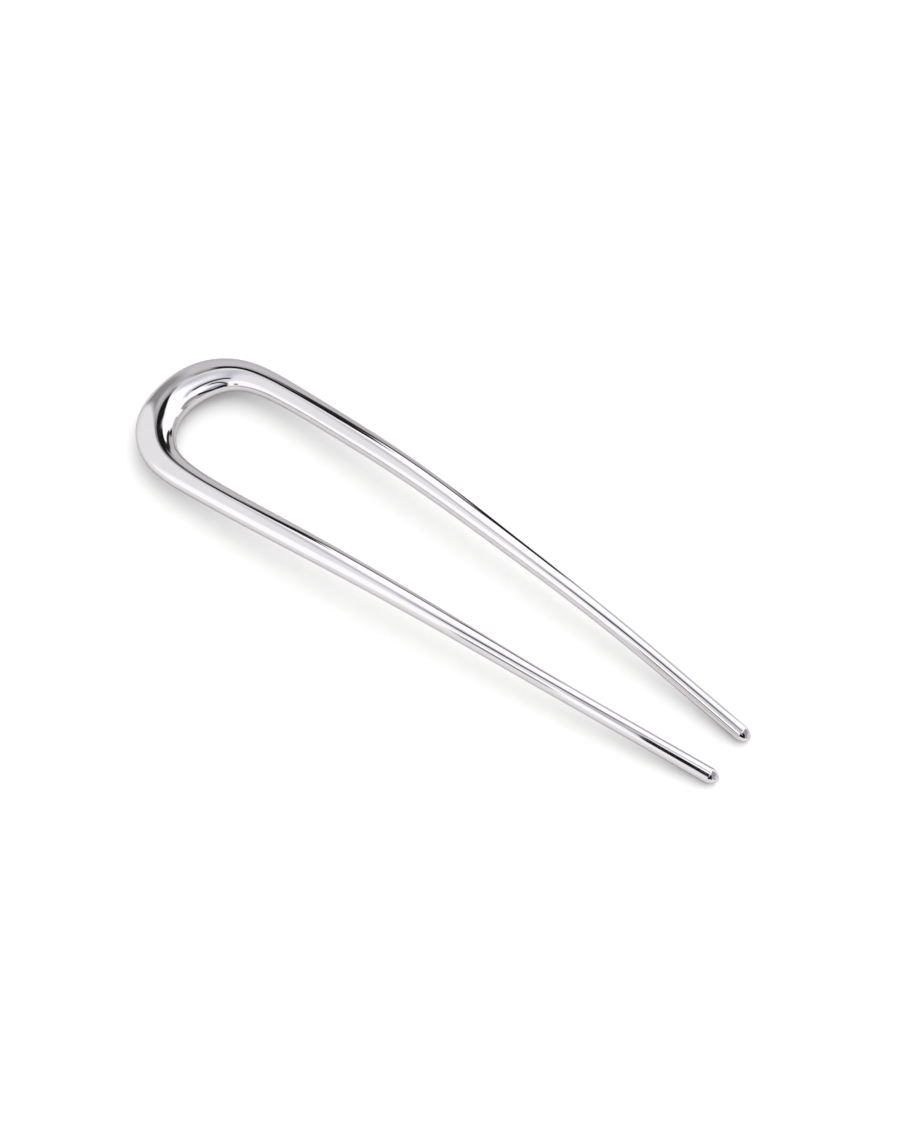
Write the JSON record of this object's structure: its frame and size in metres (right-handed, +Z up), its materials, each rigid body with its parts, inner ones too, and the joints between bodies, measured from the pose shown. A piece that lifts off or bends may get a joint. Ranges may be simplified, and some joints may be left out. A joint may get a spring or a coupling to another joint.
{
  "type": "french hair pin",
  "caption": "U-shaped polished metal hair pin: a broad bow that narrows into slim legs, gently arched from end to end, with blunt rounded tips.",
  "frame": {"origin": "middle of the pin's length and width, at the height of the surface that it lies on", "axes": "+X along the length from the bow towards the tips, +Y across the two legs, +Z up from the surface towards the outside of the arch"},
  "size_m": [0.12, 0.0288, 0.0078],
  "materials": {
    "polished_metal": "bright silver-tone plating over cast metal, mirror polished, with faint handling marks"
  },
  "bodies": {
    "root": {"hair_pin": "polished_metal"}
  },
  "joints": []
}
